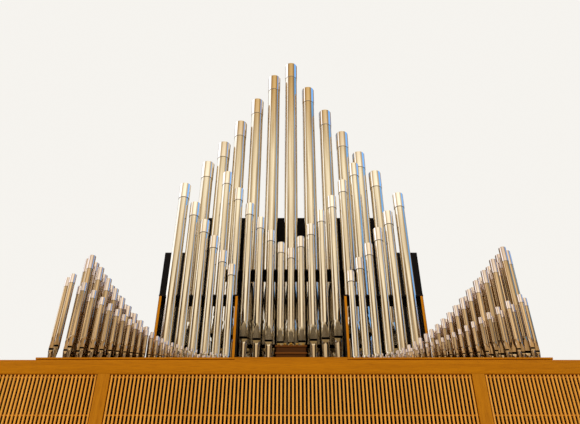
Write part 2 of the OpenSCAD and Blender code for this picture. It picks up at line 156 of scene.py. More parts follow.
class Graph:
    """Builds the node graph of one material or of the world."""

    def __init__(self, owner: bpy.types.Material | bpy.types.World) -> None:
        """Empties the owner's node tree and keeps it.

        Args:
            owner: Material or world that the graph belongs to.
        """
        owner.use_nodes = True
        self.tree = owner.node_tree
        self.tree.nodes.clear()

    def add(self, kind: str, settings: dict | None = None, inputs: dict | None = None,
            output: int | str = 0) -> Signal:
        """Adds any node.

        Args:
            kind: Blender's type name of the node.
            settings: Properties of the node, or the stops of a colour ramp.
            inputs: Values or signals by socket name or number.
            output: Name or number of the socket to hand back.

        Returns:
            The chosen output as a signal.
        """
        node = self.tree.nodes.new(kind)
        for name, value in (settings or {}).items():
            if name == "stops":
                self._set_stops(node.color_ramp.elements, value)
            else:
                setattr(node, name, value)
        for name, value in (inputs or {}).items():
            if isinstance(value, Signal):
                self.tree.links.new(value.socket, node.inputs[name])
            else:
                node.inputs[name].default_value = value
        sockets = node.outputs
        return Signal(self, sockets[output]) if len(sockets) else Signal(self, node.inputs[0])

    @staticmethod
    def _set_stops(elements: bpy.types.ColorRampElements, stops: Stops) -> None:
        """Sets the stops of a colour ramp.

        Args:
            elements: Elements of the ramp.
            stops: Pairs of position and linear colour, in order.
        """
        while len(elements) < len(stops):
            elements.new(1.0)
        for element, (position, colour) in zip(elements, stops):
            element.position = position
            element.color = (*colour, 1.0)

    def scaled(self, scale: tuple[float, float, float]) -> Signal:
        """Object coordinates stretched by a scale along each axis.

        Args:
            scale: Factor along X, Y and Z.

        Returns:
            The stretched coordinates.
        """
        place = self.add("ShaderNodeTexCoord", output="Object")
        return self.add("ShaderNodeVectorMath", {"operation": "MULTIPLY"}, {0: place, 1: scale})

    def axis(self, name: str) -> Signal:
        """One object coordinate.

        Args:
            name: X, Y or Z.

        Returns:
            The coordinate in metres.
        """
        place = self.add("ShaderNodeTexCoord", output="Object")
        return self.add("ShaderNodeSeparateXYZ", {}, {0: place}, name)

    def noise(self, vector: Signal, scale: float, detail: float = 3.0, rough: float = 0.5) -> Signal:
        """Smooth noise from 0 to 1.

        Args:
            vector: Coordinates to read.
            scale: Size of the pattern, larger is finer.
            detail: Number of finer octaves.
            rough: Share of the finer octaves.

        Returns:
            The noise's value.
        """
        return self.add("ShaderNodeTexNoise", {},
                        {"Vector": vector, "Scale": scale, "Detail": detail, "Roughness": rough})

    def ramp(self, factor: Signal, stops: Stops) -> Signal:
        """Colour ramp.

        Args:
            factor: Place on the ramp.
            stops: Pairs of position and linear colour, in order.

        Returns:
            The colour.
        """
        return self.add("ShaderNodeValToRGB", {"stops": stops}, {"Fac": factor})

    def mix(self, factor: Signal | float, first: Signal | Colour, second: Signal | Colour,
            blend: str = "MIX") -> Signal:
        """Mix of two colours.

        Args:
            factor: Share of the second colour.
            first: First colour or signal.
            second: Second colour or signal.
            blend: Blending mode.

        Returns:
            The mixed colour.
        """
        return self.add("ShaderNodeMix", {"data_type": "RGBA", "blend_type": blend},
                        {0: factor, 6: colour_of(first), 7: colour_of(second)}, 2)

    def surface(self, inputs: dict) -> None:
        """Closes a material with a Principled shader.

        Args:
            inputs: Values or signals of the shader's sockets.
        """
        shader = self.add("ShaderNodeBsdfPrincipled", {}, inputs)
        self.add("ShaderNodeOutputMaterial", {}, {"Surface": shader})

    def bump(self, height: Signal, distance: float, strength: float = 1.0) -> Signal:
        """Bumped normal.

        Args:
            height: Height from 0 to 1.
            distance: Height in metres where it is 1.
            strength: Share of the effect.

        Returns:
            The normal.
        """
        return self.add("ShaderNodeBump", {},
                        {"Height": height, "Distance": distance, "Strength": strength})


def colour_of(value: Signal | Colour) -> Signal | tuple[float, float, float, float]:
    """Gives a plain colour its alpha.

    Args:
        value: Linear colour of three numbers, or a signal.

    Returns:
        The colour with alpha, or the signal.
    """
    return value if isinstance(value, Signal) else (*value, 1.0)


@dataclass(frozen=True)
class OakFinish:
    """Varnished oak with its grain along one axis, as one piece or as boards of their own tones."""

    name: str
    grain: Grain
    light: Colour
    dark: Colour
    roughness: float = 0.42
    specular: float = 0.06
    pore_depth: float = 0.0004
    board: float = 0.0
    joint: float = 0.0
    joint_dark: float = 0.75
    spread: float = 0.0

    def material(self) -> bpy.types.Material:
        """Makes the oak's material.

        Returns:
            The material.
        """
        made = bpy.data.materials.new(self.name)
        graph = Graph(made)
        figure = graph.noise(graph.scaled(self.grain.value), 1.0, 4.0, 0.55)
        pores = graph.noise(graph.scaled(tuple(9.0 * s for s in self.grain.value)), 1.0, 2.0, 0.6)
        cloud = graph.noise(graph.scaled((1.0, 1.0, 1.0)), 1.3, 2.0)
        tone = graph.ramp(figure * 0.7 + cloud * 0.3, [(0.32, self.dark), (0.68, self.light)])
        fine = graph.ramp(pores, [(0.30, (0.78, 0.74, 0.70)), (0.55, WHITE)])
        colour = graph.mix(1.0, tone, fine, "MULTIPLY")
        if self.board > 0:
            colour = self._boards(graph, colour)
        graph.surface({
            "Base Color": colour,
            "Roughness": self.roughness + (figure - 0.5) * 0.16,
            "Specular IOR Level": self.specular,
            "Normal": graph.bump(pores, self.pore_depth, 0.5),
        })
        return made

    def _boards(self, graph: Graph, colour: Signal) -> Signal:
        """Gives each board its own tone and a dark joint.

        Args:
            graph: Graph of the material.
            colour: Colour of the wood.

        Returns:
            The colour with the boards in it.
        """
        place = (graph.axis("X") + graph.axis("Y")) / self.board
        own = graph.add("ShaderNodeTexWhiteNoise", {"noise_dimensions": "1D"}, {"W": place.floor()})
        shade = own * self.spread + (1.0 - self.spread)
        share = shade * (1.0 - (place.fraction() < self.joint) * self.joint_dark)
        grey = graph.add("ShaderNodeCombineXYZ", {}, {0: share, 1: share, 2: share})
        return graph.mix(1.0, colour, grey, "MULTIPLY")


@dataclass(frozen=True)
class PipeMetalFinish:
    """Polished tin with a slightly wavy wall; the long soft streaks along the pipe in its colour are
    painted reflections.
    """

    name: str
    light: Colour = (0.88, 0.82, 0.70)
    dark: Colour = (0.66, 0.58, 0.45)
    roughness: float = 0.11
    wave: float = 0.0018
    painted_streak_scale: tuple = (30.0, 30.0, 1.1)
    wave_scale: tuple = (15.0, 15.0, 1.0)

    def material(self) -> bpy.types.Material:
        """Makes the metal's material.

        Returns:
            The material.
        """
        made = bpy.data.materials.new(self.name)
        graph = Graph(made)
        # Long streaks along the pipe: painted reflections in the colour, and a change of roughness.
        painted_reflection_streak = graph.noise(graph.scaled(self.painted_streak_scale), 1.0, 2.0, 0.5)
        waves = graph.noise(graph.scaled(self.wave_scale), 1.0, 1.0, 0.4)
        colour = graph.ramp(painted_reflection_streak, [(0.32, self.dark), (0.66, self.light)])
        graph.surface({
            "Base Color": colour,
            "Metallic": 1.0,
            "Roughness": self.roughness + (painted_reflection_streak - 0.5) * 0.08,
            "Normal": graph.bump(waves, self.wave),
        })
        return made


@dataclass(frozen=True)
class PaintFinish:
    """Matt paint, or near-black painted shade inside the pipes, with faint clouds and brush marks."""

    name: str
    colour: Colour
    roughness: float = 0.62
    specular: float = 0.12

    def material(self) -> bpy.types.Material:
        """Makes the paint's material.

        Returns:
            The material.
        """
        made = bpy.data.materials.new(self.name)
        graph = Graph(made)
        cloud = graph.noise(graph.scaled((3.0, 3.0, 3.0)), 1.0, 4.0)
        brush = graph.noise(graph.scaled((90.0, 90.0, 4.0)), 1.0, 2.0)
        low = tuple(0.7 * c for c in self.colour)
        high = tuple(1.5 * c for c in self.colour)
        graph.surface({
            "Base Color": graph.ramp(cloud, [(0.3, low), (0.7, high)]),
            "Roughness": self.roughness + (cloud - 0.5) * 0.2,
            "Specular IOR Level": self.specular,
            "Normal": graph.bump(brush, 0.0003, 0.5),
        })
        return made


@dataclass(frozen=True)
class BrassFinish:
    """Polished bell brass with a faint tarnish."""

    name: str
    light: Colour = (1.0, 0.64, 0.14)
    dark: Colour = (0.72, 0.40, 0.07)
    metallic: float = 0.85
    roughness: float = 0.22

    def material(self) -> bpy.types.Material:
        """Makes the brass's material.

        Returns:
            The material.
        """
        made = bpy.data.materials.new(self.name)
        graph = Graph(made)
        tarnish = graph.noise(graph.scaled((40.0, 40.0, 40.0)), 1.0, 4.0)
        graph.surface({
            "Base Color": graph.ramp(tarnish, [(0.35, self.dark), (0.65, self.light)]),
            "Metallic": self.metallic,
            "Roughness": self.roughness + (tarnish - 0.5) * 0.2,
            "Normal": graph.bump(tarnish, 0.0003, 0.4),
        })
        return made


def solids_of(node: str) -> list[list[Vector]]:
    """Splits a CAD node into its separate solids.

    Args:
        node: Name of the CAD node.

    Returns:
        The corner points of each solid.
    """
    bm = bmesh.new()
    bm.from_mesh(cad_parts[node].data)
    bmesh.ops.remove_doubles(bm, verts=bm.verts, dist=MERGE)
    solids, seen = [], set()
    for start in bm.verts:
        if start in seen:
            continue
        seen.add(start)
        reached, waiting = [], [start]
        while waiting:
            vert = waiting.pop()
            reached.append(vert.co.copy())
            for edge in vert.link_edges:
                other = edge.other_vert(vert)
                if other not in seen:
                    seen.add(other)
                    waiting.append(other)
        solids.append(reached)
    bm.free()
    return solids


def corners(points: list[Vector]) -> tuple[Vector, Vector]:
    """Lowest and highest corner of some points.

    Args:
        points: Points to enclose.

    Returns:
        The two corners of their box.
    """
    low = Vector(tuple(min(p[i] for p in points) for i in range(3)))
    high = Vector(tuple(max(p[i] for p in points) for i in range(3)))
    return low, high


def turned(section: list[tuple[float, float]], columns: int) -> bmesh.types.BMesh:
    """Turns a half section round the Z axis.

    Args:
        section: Pairs of radius and height, from the axis and back to it.
        columns: Number of faces round the shape.

    Returns:
        The closed shape, its faces outwards.
    """
    bm = bmesh.new()
    verts = [bm.verts.new((radius, 0.0, height)) for radius, height in section]
    edges = [bm.edges.new(pair) for pair in zip(verts, verts[1:])]
    bmesh.ops.spin(bm, geom=verts + edges, cent=(0, 0, 0), axis=(0, 0, 1), angle=math.tau,
                   steps=columns, use_merge=True)
    bmesh.ops.remove_doubles(bm, verts=bm.verts, dist=TOUCH)
    bmesh.ops.recalc_face_normals(bm, faces=bm.faces)
    return bm


def join(parts: Iterable[bmesh.types.BMesh]) -> bmesh.types.BMesh:
    """Joins several shapes to one and frees them.

    Args:
        parts: Shapes in place, in order.

    Returns:
        One bmesh with all of them.
    """
    whole = bmesh.new()
    for part in parts:
        mesh = bpy.data.meshes.new("part")
        part.to_mesh(mesh)
        part.free()
        whole.from_mesh(mesh)
        bpy.data.meshes.remove(mesh)
    return whole


def finish_piece(bm: bmesh.types.BMesh, name: str, materials: list[bpy.types.Material],
                 nodes: list[str], crease: float = 32.0) -> bpy.types.Object:
    """Turns a bmesh into a finished piece that stands for its CAD nodes.

    Args:
        bm: Finished geometry, in metres and in place.
        name: Name of the piece.
        materials: Materials in the order of the faces' indices.
        nodes: CAD nodes that the piece replaces.
        crease: Angle in degrees past which an edge is sharp.

    Returns:
        The new object.
    """
    for face in bm.faces:
        face.smooth = True
    for edge in bm.edges:
        if edge.calc_face_angle(math.pi) > math.radians(crease):
            edge.smooth = False
    mesh = bpy.data.meshes.new(name)
    bm.to_mesh(mesh)
    bm.free()
    for material in materials:
        mesh.materials.append(material)
    piece = bpy.data.objects.new(name, mesh)
    bpy.context.scene.collection.objects.link(piece)
    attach(piece, BODY)
    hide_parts(*nodes)
    log.info("%s: %d faces for %s", name, len(mesh.polygons), ", ".join(nodes))
    return piece


@dataclass(frozen=True)
class FluePipe:
    """Places and sizes of one flue pipe, read from its solid."""

    x: float
    y: float
    toe: float
    mouth: float
    sleeve: float
    top: float
    toe_radius: float
    radius: float
    sleeve_radius: float

    @classmethod
    def read(cls, points: list[Vector]) -> "FluePipe":
        """Reads a pipe from the corner points of its solid.

        Args:
            points: Corner points of the solid.

        Returns:
            The pipe.
        """
        low, high = corners(points)
        x, y = (low.x + high.x) / 2, (low.y + high.y) / 2
        sleeve_radius = (high.x - low.x) / 2

        def reach(point: Vector) -> float:
            """Distance of a point from the pipe's axis."""
            return math.hypot(point.x - x, point.y - y)

        sleeve = min(p.z for p in points if reach(p) > sleeve_radius - 2 * NEAR)
        at_sleeve = [reach(p) for p in points if abs(p.z - sleeve) < NEAR]
        radius = max(r for r in at_sleeve if r < sleeve_radius - 5 * NEAR)
        mouth = min(p.z for p in points if p.y > y + radius / 2 and reach(p) > 0.999 * radius)
        toe_radius = max(reach(p) for p in points if p.z < low.z + NEAR)
        return cls(x, y, low.z, mouth, sleeve, high.z, toe_radius, radius, sleeve_radius)


@dataclass(frozen=True)
class Voicing:
    """Form of a rank's pipes.

    Columns and rows are counts of faces, wall is a share of the radius, rim and the painted shadow band
    under the sleeve are metres, and the other values are shares of the pipe's diameter.
    """

    columns: int = 40
    lip_columns: int = 4
    lip_rows: int = 6
    mouth_width: float = 0.87
    cut_up: float = 0.28
    upper_lip: float = 1.65
    lower_lip: float = 0.5
    above_lip: float = 0.12
    below_lip: float = 0.15
    lip_tip: float = 0.02
    bore_depth: float = 1.5
    bore_floor: float = 0.2
    wall: float = 0.06
    recess: float = 0.3
    rim: float = 0.0012
    # Height of the painted shadow band under the sleeve, in metres.
    seam: float = 0.007


@dataclass
class PipeRank:
    """A rank of flue pipes modelled as one piece, its metals in the order of Metal."""

    node: str
    voicing: Voicing
    metals: list[bpy.types.Material]
    crease: float = 26.0

    def build(self) -> bpy.types.Object:
        """Models each pipe in its place and joins them.

        Returns:
            The rank as one object.
        """
        pipes = [FluePipe.read(points) for points in solids_of(self.node)]
        whole = join(self._pipe(pipe) for pipe in pipes)
        return finish_piece(whole, f"{self.node}_finished", self.metals, [self.node],
                            self.crease)

    def _profile(self, pipe: FluePipe) -> list[tuple[float, float]]:
        """Half section of a pipe from its toe to the bottom of its bore.

        Args:
            pipe: Pipe to model.

        Returns:
            Pairs of radius and height, from the axis and back to it.
        """
        v, d = self.voicing, 2 * pipe.radius
        rim = min(v.rim, (pipe.sleeve_radius - pipe.radius) / 2)
        lip_top = pipe.mouth + d * (v.cut_up + v.upper_lip)
        bore = pipe.radius * (1 - v.wall)
        bore_end = max(pipe.top - v.bore_depth * d, lip_top + v.bore_floor * d)
        slope = (pipe.radius - pipe.toe_radius) / (pipe.mouth - pipe.toe)
        low = [pipe.mouth - v.lower_lip * d * (1 - i / v.lip_rows) for i in range(v.lip_rows)]
        high = [pipe.mouth + d * (v.cut_up + v.upper_lip * i / v.lip_rows) for i in range(v.lip_rows + 1)]
        foot = [(pipe.toe_radius + slope * (z - pipe.toe), z) for z in [low[0] - v.below_lip * d] + low]
        body = [(pipe.radius, z) for z in [pipe.mouth] + high + [lip_top + v.above_lip * d]]
        # The sleeve's section starts at the top of the painted shadow band under it.
        sleeve = [(pipe.radius, pipe.sleeve - v.seam), (pipe.radius, pipe.sleeve),
                  (pipe.sleeve_radius - rim, pipe.sleeve),
                  (pipe.sleeve_radius, pipe.sleeve + rim), (pipe.sleeve_radius, pipe.top - rim),
                  (pipe.sleeve_radius - rim, pipe.top), (bore, pipe.top), (bore, bore_end)]
        return [(0.0, pipe.toe), (pipe.toe_radius, pipe.toe)] + foot + body + sleeve + [(0.0, bore_end)]

    def _half_width(self, pipe: FluePipe, z: float) -> float:
        """Half width of the pressed lips at a height.

        Args:
            pipe: Pipe to model.
            z: Height of the row.

        Returns:
            Half the lips' width there, or -1 outside them.
        """
        v, d = self.voicing, 2 * pipe.radius
        if z < pipe.mouth:
            share = (pipe.mouth - z) / (v.lower_lip * d)
        else:
            share = max(0.0, z - pipe.mouth - v.cut_up * d) / (v.upper_lip * d)
        if share > 1 + TOUCH:
            return -1.0
        depth = (1 - math.sqrt(1 - v.mouth_width ** 2)) * (1 - share)
        return d / 2 * max(v.lip_tip, math.sqrt(max(0.0, 1 - (1 - depth) ** 2)))

    def _pipe(self, pipe: FluePipe) -> bmesh.types.BMesh:
        """Models one pipe: its turned skin, pressed lips and open mouth.

        Args:
            pipe: Pipe to model.

        Returns:
            The pipe's geometry in place.
        """
        bm = turned(self._profile(pipe), self.voicing.columns)
        self._mark_metals(bm, pipe)
        held = self._press_lips(bm, pipe)
        self._open_mouth(bm, pipe, held)
        bmesh.ops.translate(bm, verts=bm.verts, vec=(pipe.x, pipe.y, 0.0))
        return bm

    def _mark_metals(self, bm: bmesh.types.BMesh, pipe: FluePipe) -> None:
        """Gives the sleeve its own material, paints a band of shadow just under it and paints the bore
        near-black shade.

        Args:
            bm: Turned pipe round the Z axis.
            pipe: Pipe to model.
        """
        for face in bm.faces:
            centre = face.calc_center_median()
            inward = centre.x * face.normal.x + centre.y * face.normal.y < -TOUCH
            bore_wall = inward and centre.z > pipe.mouth + 0.1 * pipe.radius
            bore_floor = face.normal.z > 0.9 and pipe.mouth < centre.z < pipe.top - NEAR
            # The bore's wall and floor are painted near-black shade.
            if bore_wall or bore_floor:
                face.material_index = Metal.INSIDE_PAINTED_SHADE
            elif centre.z > pipe.sleeve - MERGE:
                face.material_index = Metal.SLEEVE
            # A band just under the sleeve is painted dark shadow.
            elif centre.z > pipe.sleeve - self.voicing.seam:
                face.material_index = Metal.SLEEVE_PAINTED_SHADOW

    def _press_lips(self, bm: bmesh.types.BMesh, pipe: FluePipe) -> set:
        """Moves the front columns onto the flat lips and marks the lips' outline.

        Args:
            bm: Turned pipe round the Z axis.
            pipe: Pipe to model.

        Returns:
            Vertices that lie on or inside the lips' outline.
        """
        v = self.voicing
        step = math.tau / v.columns
        edge_angle = v.lip_columns * step
        held, outline = set(), set()
        for vert in bm.verts:
            radius = math.hypot(vert.co.x, vert.co.y)
            half = self._half_width(pipe, vert.co.z)
            at_toe = radius < 1.01 * pipe.toe_radius
            if half < 0 or at_toe:
                continue
            angle = math.atan2(vert.co.x, -vert.co.y)
            column = round(angle / step)
            width = min(half, 0.98 * radius)
            lip_angle = math.asin(width / radius)
            if abs(column) <= v.lip_columns:
                vert.co.x = width * column / v.lip_columns
                vert.co.y = -math.sqrt(radius ** 2 - width ** 2)
                held.add(vert)
                if abs(column) == v.lip_columns:
                    outline.add(vert)
            else:
                spread = (math.pi - lip_angle) / (math.pi - edge_angle)
                shifted = lip_angle + (abs(angle) - edge_angle) * spread
                vert.co.x = math.copysign(radius * math.sin(shifted), angle)
                vert.co.y = -radius * math.cos(shifted)
        for edge in bm.edges:
            first, second = edge.verts
            if first in outline and second in outline and abs(first.co.z - second.co.z) > TOUCH:
                edge.smooth = False
        return held

    def _open_mouth(self, bm: bmesh.types.BMesh, pipe: FluePipe, held: set) -> None:
        """Sinks the faces between the two lips into the pipe and paints the recess near-black shade.

        Args:
            bm: Pipe with its pressed lips.
            pipe: Pipe to model.
            held: Vertices that lie on or inside the lips' outline.
        """
        v, d = self.voicing, 2 * pipe.radius
        low, high = pipe.mouth - MERGE, pipe.mouth + v.cut_up * d + MERGE
        opening = [f for f in bm.faces if all(x in held and low < x.co.z < high for x in f.verts)]
        made = bmesh.ops.extrude_face_region(bm, geom=opening)["geom"]
        bmesh.ops.delete(bm, geom=opening, context="FACES")
        moved = [x for x in made if isinstance(x, bmesh.types.BMVert)]
        bmesh.ops.translate(bm, verts=moved, vec=(0.0, v.recess * d, 0.0))
        # The recess's faces are painted near-black as shade.
        for face in {f for x in moved for f in x.link_faces}:
            face.material_index = Metal.INSIDE_PAINTED_SHADE


@dataclass
class Board:
    """One solid piece of joinery, its edges eased; some of its faces may have a second finish."""

    node: str
    material: bpy.types.Material
    slot: str
    ease: float = 0.002
    second: bpy.types.Material | None = None
    faces: Faces = Faces.SIDES
    front_depth: float = 0.003

    def build(self) -> bpy.types.Object:
        """Copies the solid, joins its triangles to flat faces and bevels its edges.

        Returns:
            The board as an object.
        """
        bm = bmesh.new()
        bm.from_mesh(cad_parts[self.node].data)
        bmesh.ops.remove_doubles(bm, verts=bm.verts, dist=MERGE)
        bmesh.ops.dissolve_limit(bm, angle_limit=math.radians(1), verts=bm.verts, edges=bm.edges)
        sharp = [e for e in bm.edges if e.calc_face_angle(0.0) > math.radians(30)]
        bmesh.ops.bevel(bm, geom=sharp, offset=self.ease, offset_type="OFFSET", segments=2,
                        profile=0.5, affect="EDGES", clamp_overlap=True, material=-1)
        materials = [self.material]
        if self.second:
            materials.append(self.second)
            front = min(v.co.y for v in bm.verts)
            for face in bm.faces:
                at_front = face.calc_center_median().y < front + self.front_depth
                chosen = abs(face.normal.x) > 0.9 if self.faces is Faces.SIDES else at_front
                face.material_index = 1 if chosen else 0
        return finish_piece(bm, f"{self.node}_finished", materials, [self.node])


@dataclass
class SlatGrille:
    """One bay of round-topped slats."""

    node: str
    material: bpy.types.Material
    round_segments: int = 5
    round_share: float = 0.98
    ease: float = 0.0025
    shortest: float = 0.5
    crease: float = 40.0

    def build(self) -> bpy.types.Object:
        """Models a slat at each slat's place and joins them.

        Returns:
            The bay as one object.
        """
        whole = join(self._slat(*corners(points)) for points in solids_of(self.node))
        return finish_piece(whole, f"{self.node}_finished", [self.material], [self.node],
                            self.crease)

    def _slat(self, low: Vector, high: Vector) -> bmesh.types.BMesh:
        """Models one slat between two corners.

        Args:
            low: Lowest corner.
            high: Highest corner.

        Returns:
            The slat's geometry.
        """
        bm = bmesh.new()
        size = high - low
        bmesh.ops.create_cube(bm, size=1.0)
        bmesh.ops.scale(bm, verts=bm.verts, vec=size)
        bmesh.ops.translate(bm, verts=bm.verts, vec=(low + high) / 2)
        top = [e for e in bm.edges if all(v.co.z > high.z - TOUCH for v in e.verts)
               and abs(e.verts[0].co.y - e.verts[1].co.y) > TOUCH]
        bmesh.ops.bevel(bm, geom=top, offset=self.round_share * size.x / 2, offset_type="OFFSET",
                        segments=self.round_segments, profile=0.5, affect="EDGES", material=-1)
        front = [e for e in bm.edges if self._front_top(e, low) or self._front_upright(e, low)]
        bmesh.ops.bevel(bm, geom=front, offset=self.ease, offset_type="OFFSET", segments=1,
                        profile=0.5, affect="EDGES", clamp_overlap=True, material=-1)
        return bm

    @staticmethod
    def _front_top(edge: bmesh.types.BMEdge, low: Vector) -> bool:
        """Tells whether an edge belongs to the front of a slat's round top.

        Args:
            edge: Edge to test.
            low: Lowest corner of the slat.

        Returns:
            True for a front edge that doesn't touch the slat's foot.
        """
        return all(v.co.y < low.y + TOUCH and v.co.z > low.z + TOUCH for v in edge.verts)

    def _front_upright(self, edge: bmesh.types.BMEdge, low: Vector) -> bool:
        """Tells whether an edge runs up the front of a slat.

        Args:
            edge: Edge to test.
            low: Lowest corner of the slat.

        Returns:
            True for an upright front edge.
        """
        first, second = edge.verts
        at_front = all(v.co.y < low.y + TOUCH for v in edge.verts)
        return at_front and abs(first.co.z - second.co.z) > self.shortest


@dataclass
class BellRow:
    """The row of small bells on their box; the section holds shares of a bell's radius and height."""

    node: str
    material: bpy.types.Material
    columns: int = 24
    section: tuple = (
        (0.0, 0.0), (0.16, 0.0), (0.16, 0.33), (0.90, 0.33), (1.0, 0.35), (0.97, 0.40), (0.84, 0.52),
        (0.74, 0.68), (0.60, 0.85), (0.42, 0.93), (0.24, 0.97), (0.20, 1.0), (0.0, 1.0))

    def build(self) -> bpy.types.Object:
        """Models a bell at each bell's place and joins them.

        Returns:
            The bells as one object.
        """
        whole = join(self._bell(*corners(points)) for points in solids_of(self.node))
        return finish_piece(whole, f"{self.node}_finished", [self.material], [self.node])

    def _bell(self, low: Vector, high: Vector) -> bmesh.types.BMesh:
        """Turns one bell between two corners.

        Args:
            low: Lowest corner.
            high: Highest corner.

        Returns:
            The bell's geometry.
        """
        radius, height = (high.x - low.x) / 2, high.z - low.z
        bm = turned([(radius * r, low.z + height * z) for r, z in self.section], self.columns)
        bmesh.ops.translate(bm, verts=bm.verts, vec=((low.x + high.x) / 2, (low.y + high.y) / 2, 0.0))
        return bm


@dataclass(frozen=True)
class MirroredLight:
    """What polished metal mirrors: a warm surround with a white field left and a blue one right.

    Each field holds stops of a ramp: round the organ from 0 to 1 with the front at 0.5, or by
    height from the horizon at 0 to the zenith at 1.
    """

    around: Stops = (
        (0.0, (0.24, 0.18, 0.12)), (0.10, (0.14, 0.10, 0.06)), (0.31, (0.50, 0.40, 0.25)),
        (0.38, (0.58, 0.48, 0.33)), (0.43, (0.94, 0.87, 0.70)), (0.50, (1.0, 0.93, 0.77)),
        (0.57, (1.0, 0.94, 0.79)), (0.61, (0.62, 0.52, 0.35)), (0.69, (0.40, 0.32, 0.20)),
        (0.855, (0.50, 0.34, 0.16)), (0.92, (0.16, 0.11, 0.06)), (1.0, (0.24, 0.18, 0.12)))
    upwards: Stops = (
        (0.06, (0.06, 0.046, 0.03)), (0.165, (0.085, 0.066, 0.043)), (0.185, (0.50, 0.40, 0.29)),
        (0.27, (0.66, 0.53, 0.39)), (0.34, (0.56, 0.43, 0.30)), (0.42, (0.90, 0.83, 0.75)),
        (0.48, WHITE), (0.53, (0.80, 0.72, 0.66)), (0.57, (0.86, 0.80, 0.74)),
        (0.61, (1.04, 1.04, 1.05)), (0.66, (0.88, 0.83, 0.76)), (0.70, (0.66, 0.55, 0.42)),
        (0.74, (0.60, 0.43, 0.22)), (0.86, (0.34, 0.25, 0.13)), (1.0, (0.20, 0.15, 0.09)))
    ahead: Stops = (
        (0.39, (0.30, 0.26, 0.22)), (0.43, WHITE), (0.57, WHITE), (0.61, (0.30, 0.26, 0.22)))
    ahead_heights: Stops = ((0.34, BLACK), (0.44, WHITE))
    low_around: Stops = (
        (0.0, (0.62, 0.55, 0.44)), (0.07, (0.85, 0.79, 0.68)), (0.14, (0.34, 0.27, 0.18)),
        (0.24, (0.70, 0.64, 0.54)), (0.31, (0.40, 0.32, 0.22)), (0.38, (0.60, 0.52, 0.42)),
        (0.42, (0.30, 0.24, 0.16)), (0.44, (0.07, 0.054, 0.035)), (0.56, (0.07, 0.054, 0.035)),
        (0.58, (0.30, 0.24, 0.16)), (0.62, (0.60, 0.54, 0.45)), (0.70, (0.42, 0.36, 0.27)),
        (0.77, (0.72, 0.68, 0.60)), (0.86, (0.34, 0.28, 0.20)), (0.93, (0.88, 0.82, 0.71)),
        (1.0, (0.62, 0.55, 0.44)))
    low_heights: Stops = ((0.165, BLACK), (0.18, WHITE))
    fields: Stops = (
        (0.11, BLACK), (0.12, WHITE), (0.312, WHITE), (0.322, BLACK),
        (0.683, BLACK), (0.692, WHITE), (0.83, WHITE), (0.84, BLACK))
    field_heights: Stops = ((0.31, BLACK), (0.37, WHITE), (0.80, WHITE), (0.86, BLACK))
    field_tones: Stops = ((0.49, (1.10, 1.12, 1.18)), (0.51, (0.19, 0.46, 0.96)))

    def colour(self, graph: Graph) -> Signal:
        """Makes the mirrored colour by direction.

        Args:
            graph: Graph of the world.

        Returns:
            The colour.
        """
        towards = graph.add("ShaderNodeTexCoord", output="Generated")
        x, y, height = (graph.add("ShaderNodeSeparateXYZ", {}, {0: towards}, name) for name in "XYZ")
        turn = x.atan2(y * -1.0) / math.tau + 0.5
        ahead = graph.mix(graph.ramp(height, self.ahead_heights), graph.ramp(turn, self.ahead), WHITE)
        high = graph.mix(1.0, graph.ramp(turn, self.around), graph.ramp(height, self.upwards), "MULTIPLY")
        high = graph.mix(1.0, high, ahead, "MULTIPLY")
        low = graph.ramp(turn, self.low_around)
        surround = graph.mix(graph.ramp(height, self.low_heights), low, high)
        fields = graph.mix(1.0, graph.ramp(turn, self.fields), graph.ramp(height, self.field_heights),
                           "MULTIPLY")
        return graph.mix(fields, surround, graph.ramp(turn, self.field_tones))


@dataclass(frozen=True)
class SoftLamp:
    """A soft rectangular lamp that neither the camera nor the metal sees."""

    name: str
    place: tuple
    size: tuple
    radiance: float
    target: tuple = (0.0, -1.0, 4.0)
    colour: Colour = (1.0, 0.97, 0.93)

    def build(self) -> None:
        """Makes the lamp and turns it to its target."""
        data = bpy.data.lights.new(self.name, "AREA")
        data.shape = "RECTANGLE"
        data.size, data.size_y = self.size
        data.energy = self.radiance * math.pi * self.size[0] * self.size[1]
        data.color = self.colour
        lamp = bpy.data.objects.new(self.name, data)
        lamp.location = self.place
        towards = Vector(self.target) - Vector(self.place)
        lamp.rotation_euler = towards.to_track_quat("-Z", "Y").to_euler()
        lamp.visible_camera = False
        lamp.visible_glossy = False
        bpy.context.scene.collection.objects.link(lamp)


